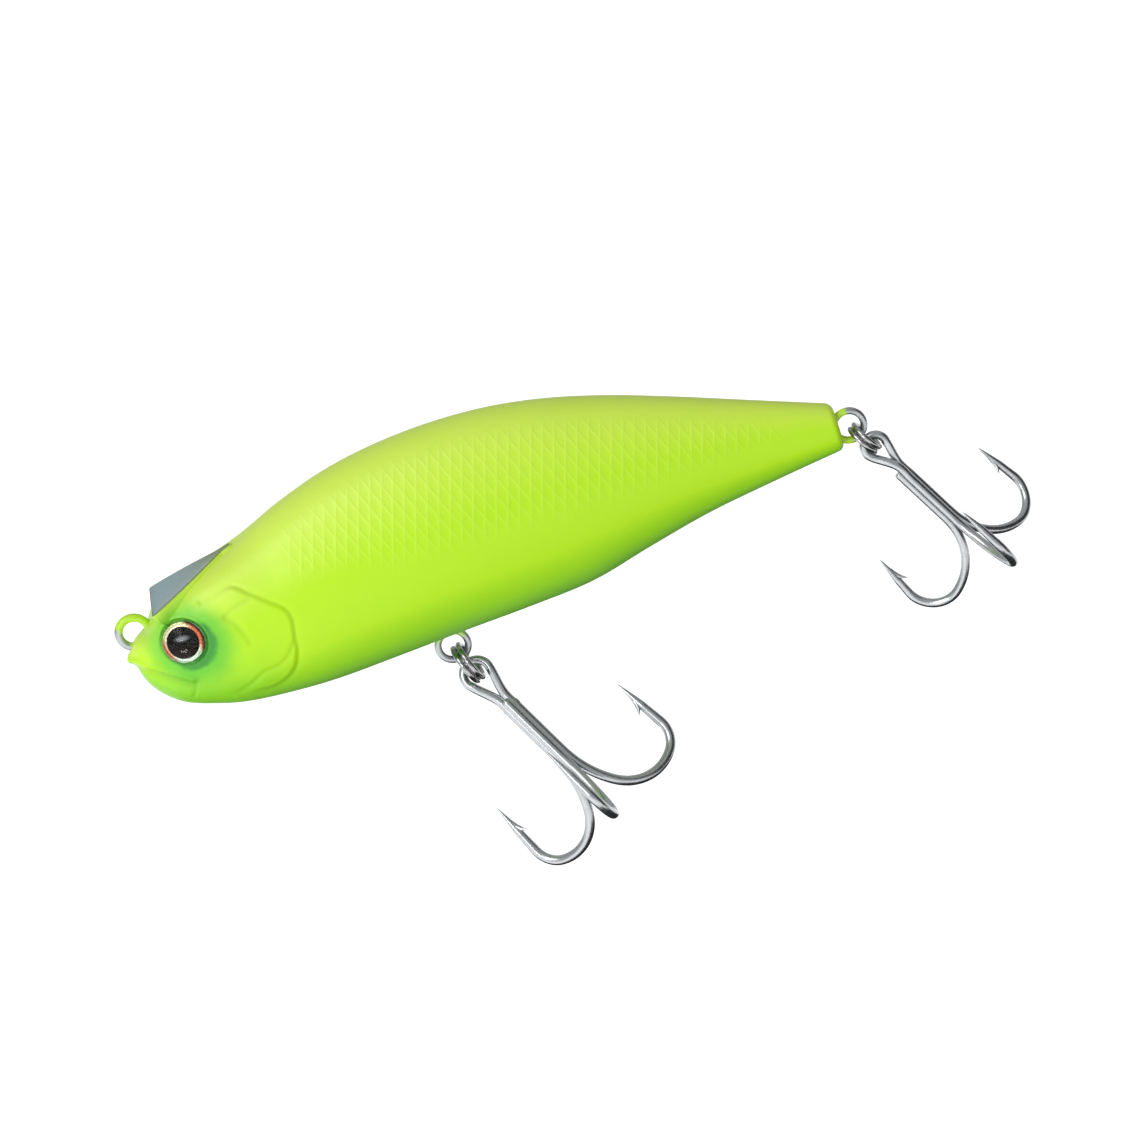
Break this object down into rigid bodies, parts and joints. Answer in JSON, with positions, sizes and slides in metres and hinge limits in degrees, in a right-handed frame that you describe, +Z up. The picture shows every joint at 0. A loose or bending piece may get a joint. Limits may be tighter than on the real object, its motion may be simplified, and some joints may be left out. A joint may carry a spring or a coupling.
{
  "type": "crankbait lure",
  "caption": "Shad-shaped hard fishing lure with a scaled body, a plate lip, a wire line tie and trebles on split rings at belly and tail.",
  "frame": {"origin": "centre of the line tie loop at the nose", "axes": "+X from nose to tail, +Z up through the back, -Y out of the fish's left side"},
  "size_m": [0.099, 0.0237, 0.0517],
  "materials": {
    "body_paint": "satin airbrushed chartreuse over moulded plastic",
    "lip_metal": "smooth grey-blue plate",
    "painted_wire": "wire painted with the body, worn to metal at the bow",
    "steel_wire": "bright spring wire",
    "tinned_hook": "bright tin plating",
    "eye_foil": "pale gold foil",
    "eye_pupil": "black print",
    "eye_dome": "clear resin dome",
    "ballast_metal": "dull cast weight",
    "ball_steel": "polished bearing ball"
  },
  "bodies": {
    "lure_body": {"left_body_shell": "body_paint", "right_body_shell": "body_paint", "lip_plate": "lip_metal", "line_tie_eyelet": "painted_wire", "belly_hanger_eyelet": "steel_wire", "tail_hanger_eyelet": "painted_wire", "left_eye_foil": "eye_foil", "right_eye_foil": "eye_foil", "left_eye_pupil": "eye_pupil", "right_eye_pupil": "eye_pupil", "left_eye_dome": "eye_dome", "right_eye_dome": "eye_dome", "belly_ballast_weight": "ballast_metal"},
    "front_weight": {"transfer_weight_front": "ball_steel"},
    "rear_weight": {"transfer_weight_rear": "ball_steel"},
    "belly_ring": {"belly_split_ring": "steel_wire"},
    "belly_treble": {"belly_double_hook": "tinned_hook", "belly_single_hook": "tinned_hook"},
    "tail_ring": {"tail_split_ring": "steel_wire"},
    "tail_treble": {"tail_double_hook": "tinned_hook", "tail_single_hook": "tinned_hook"}
  },
  "joints": [
    {"name": "front_weight_roll", "type": "slide", "parent": "lure_body", "child": "front_weight", "axis": [0.9942, 0, 0.108], "range_m": [0, 0.0285]},
    {"name": "rear_weight_roll", "type": "slide", "parent": "lure_body", "child": "rear_weight", "axis": [0.9942, 0, 0.108], "range_m": [0, 0.0285]},
    {"name": "belly_ring_swing", "type": "hinge", "parent": "lure_body", "child": "belly_ring", "pos_m": [0.0321, 0, -0.0126], "axis": [0, 1, 0], "range_deg": [-20, 50]},
    {"name": "belly_hook_swing", "type": "hinge", "parent": "belly_ring", "child": "belly_treble", "pos_m": [0.03382, 0, -0.01707], "axis": [0, 1, 0], "range_deg": [-15, 35]},
    {"name": "tail_ring_swing", "type": "hinge", "parent": "lure_body", "child": "tail_ring", "pos_m": [0.0799, 0, -0.0025], "axis": [0, 1, 0], "range_deg": [-60, 25]},
    {"name": "tail_hook_swing", "type": "hinge", "parent": "tail_ring", "child": "tail_treble", "pos_m": [0.08213, 0, -0.00594], "axis": [0, 1, 0], "range_deg": [-35, 35]}
  ],
  "couplings": [
    {"joint": "rear_weight_roll", "follows": "front_weight_roll", "ratio": 1}
  ]
}
